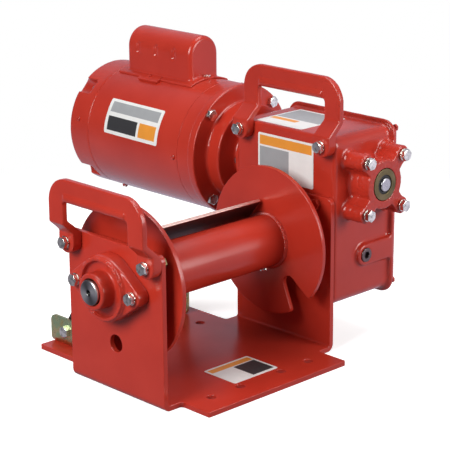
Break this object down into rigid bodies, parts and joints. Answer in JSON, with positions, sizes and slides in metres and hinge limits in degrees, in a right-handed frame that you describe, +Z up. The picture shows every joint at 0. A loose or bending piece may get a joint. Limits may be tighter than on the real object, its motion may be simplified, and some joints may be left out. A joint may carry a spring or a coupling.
{
  "type": "electric winch",
  "caption": "Portable drum winch: a folded steel frame holds a rope drum, driven through a worm gearbox by an electric motor with a capacitor hood, and has carrying handles.",
  "frame": {"origin": "on the floor under the base, midway between the end plates and below the drum axis", "axes": "+X along the drum towards the gearbox, +Y towards the motor, +Z up"},
  "size_m": [0.445, 0.512, 0.337],
  "materials": {
    "red_enamel_steel": "gloss enamel",
    "red_enamel_casting": "gloss enamel over a casting",
    "red_enamel_iron": "gloss enamel over a casting",
    "bright_zinc": "bright zinc plate",
    "yellow_zinc": "yellow chromate zinc plate",
    "bare_steel": "turned and ground",
    "bronze": "cut bronze",
    "black_steel": "black oxide",
    "black_rubber": "moulded",
    "core_steel": "stacked laminations",
    "copper_wire": "varnished wire",
    "plain_can": "drawn can",
    "black_plastic": "moulded"
  },
  "bodies": {
    "frame": {"base_frame": "red_enamel_steel", "motor_shell": "red_enamel_steel", "capacitor_hood": "red_enamel_steel", "gear_housing": "red_enamel_casting", "gear_cover": "red_enamel_casting", "worm_cap": "red_enamel_casting", "outboard_handle": "red_enamel_casting", "gearbox_handle": "red_enamel_casting", "motor_adapter": "red_enamel_casting", "motor_drive_bell": "red_enamel_casting", "motor_rear_bell": "red_enamel_casting", "bearing_housing": "red_enamel_iron", "bearing_bolts": "bright_zinc", "end_plate_nuts": "bright_zinc", "outboard_handle_bolts": "bright_zinc", "spring_washers": "bright_zinc", "cover_bolts": "bright_zinc", "housing_bolts": "bright_zinc", "worm_cap_bolts": "bright_zinc", "gearbox_handle_bolts": "bright_zinc", "adapter_bolts": "bright_zinc", "motor_face_bolts": "bright_zinc", "through_bolts": "bright_zinc", "hood_screws": "bright_zinc", "ear_bolts": "bright_zinc", "pivot_bolts": "bright_zinc", "pivot_nuts": "bright_zinc", "pressure_ears": "yellow_zinc", "worm_retainer": "yellow_zinc", "output_bearings": "bare_steel", "worm_bearings": "bare_steel", "motor_bearings": "bare_steel", "outboard_bush": "bronze", "oil_plug": "black_steel", "drain_plug": "black_steel", "worm_seal": "black_rubber", "output_seal": "black_rubber", "cover_gasket": "black_rubber", "stator_core": "core_steel", "stator_windings": "copper_wire", "start_capacitor": "plain_can"},
    "drum": {"drum_barrel": "red_enamel_steel", "drum_flange_outboard": "red_enamel_steel", "drum_flange_gear": "red_enamel_steel", "drum_shaft": "bare_steel", "rope_anchor_screw": "bright_zinc", "worm_wheel": "bronze", "wheel_key": "bare_steel"},
    "worm": {"worm_shaft": "bare_steel", "shaft_coupling": "bare_steel", "motor_shaft": "bare_steel", "rotor": "core_steel", "cooling_fan": "black_plastic"},
    "pressure": {"pressure_bar": "black_steel", "pressure_arm_outboard": "black_steel", "pressure_arm_gear": "black_steel"}
  },
  "joints": [
    {"name": "drum_spin", "type": "hinge", "parent": "frame", "child": "drum", "pos_m": [0, 0, 0.128], "axis": [1, 0, 0], "continuous": true},
    {"name": "worm_spin", "type": "hinge", "parent": "frame", "child": "worm", "pos_m": [0.189, 0, 0.2], "axis": [0, 1, 0], "continuous": true},
    {"name": "pressure_bar_lift", "type": "hinge", "parent": "frame", "child": "pressure", "pos_m": [0, 0.144, 0.025], "axis": [-1, 0, 0], "range_deg": [0, 20]}
  ],
  "couplings": [
    {"joint": "worm_spin", "follows": "drum_spin", "ratio": 40}
  ]
}
